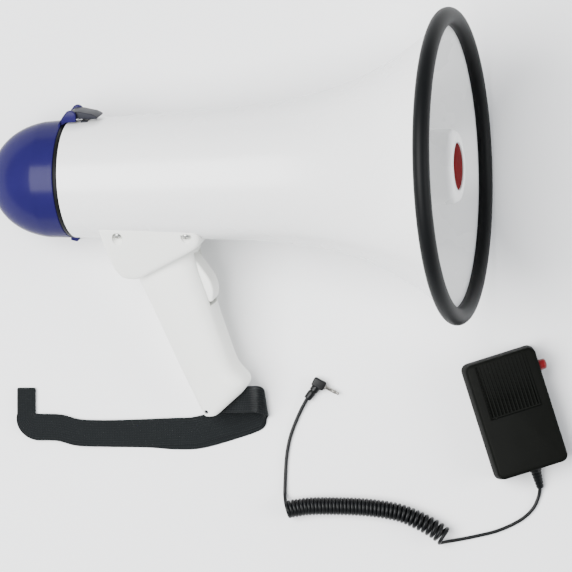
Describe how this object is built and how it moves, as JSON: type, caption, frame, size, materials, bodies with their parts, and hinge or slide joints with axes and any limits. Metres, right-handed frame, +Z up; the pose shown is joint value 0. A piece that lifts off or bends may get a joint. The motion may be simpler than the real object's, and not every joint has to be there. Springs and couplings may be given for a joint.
{
  "type": "handheld megaphone",
  "caption": "Handheld megaphone with flared bell, pistol grip, hinged battery cover and wrist strap, lying on its side with a hand microphone on a curly cord.",
  "frame": {"origin": "centre of the lying set's footprint, on the surface it rests on, measured without the free cord", "axes": "+Z up from the surface, +X towards the bell's mouth, +Y away from the grip and the microphone"},
  "size_m": [0.4014, 0.3704, 0.2103],
  "materials": {
    "black_plastic": "fine spark-eroded texture",
    "blue_plastic": "gloss moulded ABS",
    "board": "solder mask",
    "chrome": "nickel plated",
    "copper": "enamelled copper wire",
    "ferrite": "sintered ferrite",
    "film": "phenolic film",
    "red_plastic": "gloss moulded plastic",
    "rubber": "smooth moulded rubber",
    "steel": "turned",
    "webbing": "woven polypropylene webbing",
    "white_plastic": "semi-gloss moulded ABS"
  },
  "bodies": {
    "megaphone": {"horn_body": "white_plastic", "rim_trim": "rubber", "rear_gasket": "rubber", "cover_hinge_pin": "steel", "latch_catch": "steel", "driver_bulkhead": "white_plastic", "driver_back_plate": "steel", "driver_magnet": "ferrite", "driver_top_plate": "steel", "throat_tube": "black_plastic", "reflector_cup": "white_plastic", "front_badge": "red_plastic", "horn_spider": "white_plastic", "battery_holder": "black_plastic", "battery_1": "steel", "battery_2": "steel", "battery_3": "steel", "battery_4": "steel", "battery_5": "steel", "battery_6": "steel", "contact_spring_1": "steel", "contact_spring_2": "steel", "contact_spring_3": "steel", "handle_right": "white_plastic", "handle_left": "white_plastic", "saddle_screw_1": "steel", "saddle_screw_2": "steel", "saddle_screw_3": "steel", "saddle_screw_4": "steel", "grip_screw_1": "steel", "grip_screw_2": "steel", "strap_pin": "steel", "trigger_pin": "steel", "trigger_switch": "black_plastic", "amplifier_board": "board", "volume_pot": "steel", "mic_socket": "chrome", "wrist_strap": "webbing"},
    "rear_cover": {"rear_cover": "blue_plastic", "latch_pin": "steel"},
    "latch": {"latch_lever": "black_plastic"},
    "driver_diaphragm": {"diaphragm": "film", "voice_coil": "copper"},
    "trigger": {"trigger": "white_plastic"},
    "volume_knob": {"volume_knob": "black_plastic"},
    "siren_switch": {"siren_switch": "black_plastic"},
    "microphone": {"mic_back_shell": "black_plastic", "mic_front_shell": "black_plastic", "mic_switch": "black_plastic", "mic_capsule": "steel", "mic_screw_1": "steel", "mic_screw_2": "steel", "mic_strain_relief": "rubber", "cord_tail": "rubber", "cord_coil": "rubber", "cord_lead": "rubber", "plug_body": "rubber", "plug_pin": "chrome"},
    "ptt_button": {"ptt_button": "red_plastic"}
  },
  "joints": [
    {"name": "rear_cover_hinge", "type": "hinge", "parent": "megaphone", "child": "rear_cover", "pos_m": [-0.13962, 0.00825, 0.03237], "axis": [-0.2106, -0.2869, 0.9345], "range_deg": [0, 95]},
    {"name": "latch_pivot", "type": "hinge", "parent": "rear_cover", "child": "latch", "pos_m": [-0.14098, 0.09228, 0.05787], "axis": [-0.2106, -0.2869, 0.9345], "range_deg": [0, 75]},
    {"name": "diaphragm_slide", "type": "slide", "parent": "megaphone", "child": "driver_diaphragm", "axis": [0.9738, 0.0221, 0.2262], "range_m": [-0.0003, 0.0003], "stiffness_N_per_m": 500},
    {"name": "trigger_hinge", "type": "hinge", "parent": "megaphone", "child": "trigger", "pos_m": [-0.06021, -0.00684, 0.04564], "axis": [0.2106, 0.2869, -0.9345], "range_deg": [0, 7], "stiffness_Nm_per_rad": 0.4},
    {"name": "volume_turn", "type": "hinge", "parent": "megaphone", "child": "volume_knob", "pos_m": [-0.08341, 0.00839, 0.01807], "axis": [0.2251, 0.0461, -0.9733], "range_deg": [0, 280]},
    {"name": "siren_switch_slide", "type": "slide", "parent": "megaphone", "child": "siren_switch", "axis": [0.9738, 0.0221, 0.2262], "range_m": [0, 0.004]},
    {"name": "microphone_lift", "type": "slide", "parent": "megaphone", "child": "microphone", "axis": [0, 0, 1], "range_m": [0, 0.15]},
    {"name": "ptt_press", "type": "slide", "parent": "microphone", "child": "ptt_button", "axis": [-0.9537, -0.3007, 0], "range_m": [0, 0.0025], "stiffness_N_per_m": 400}
  ]
}
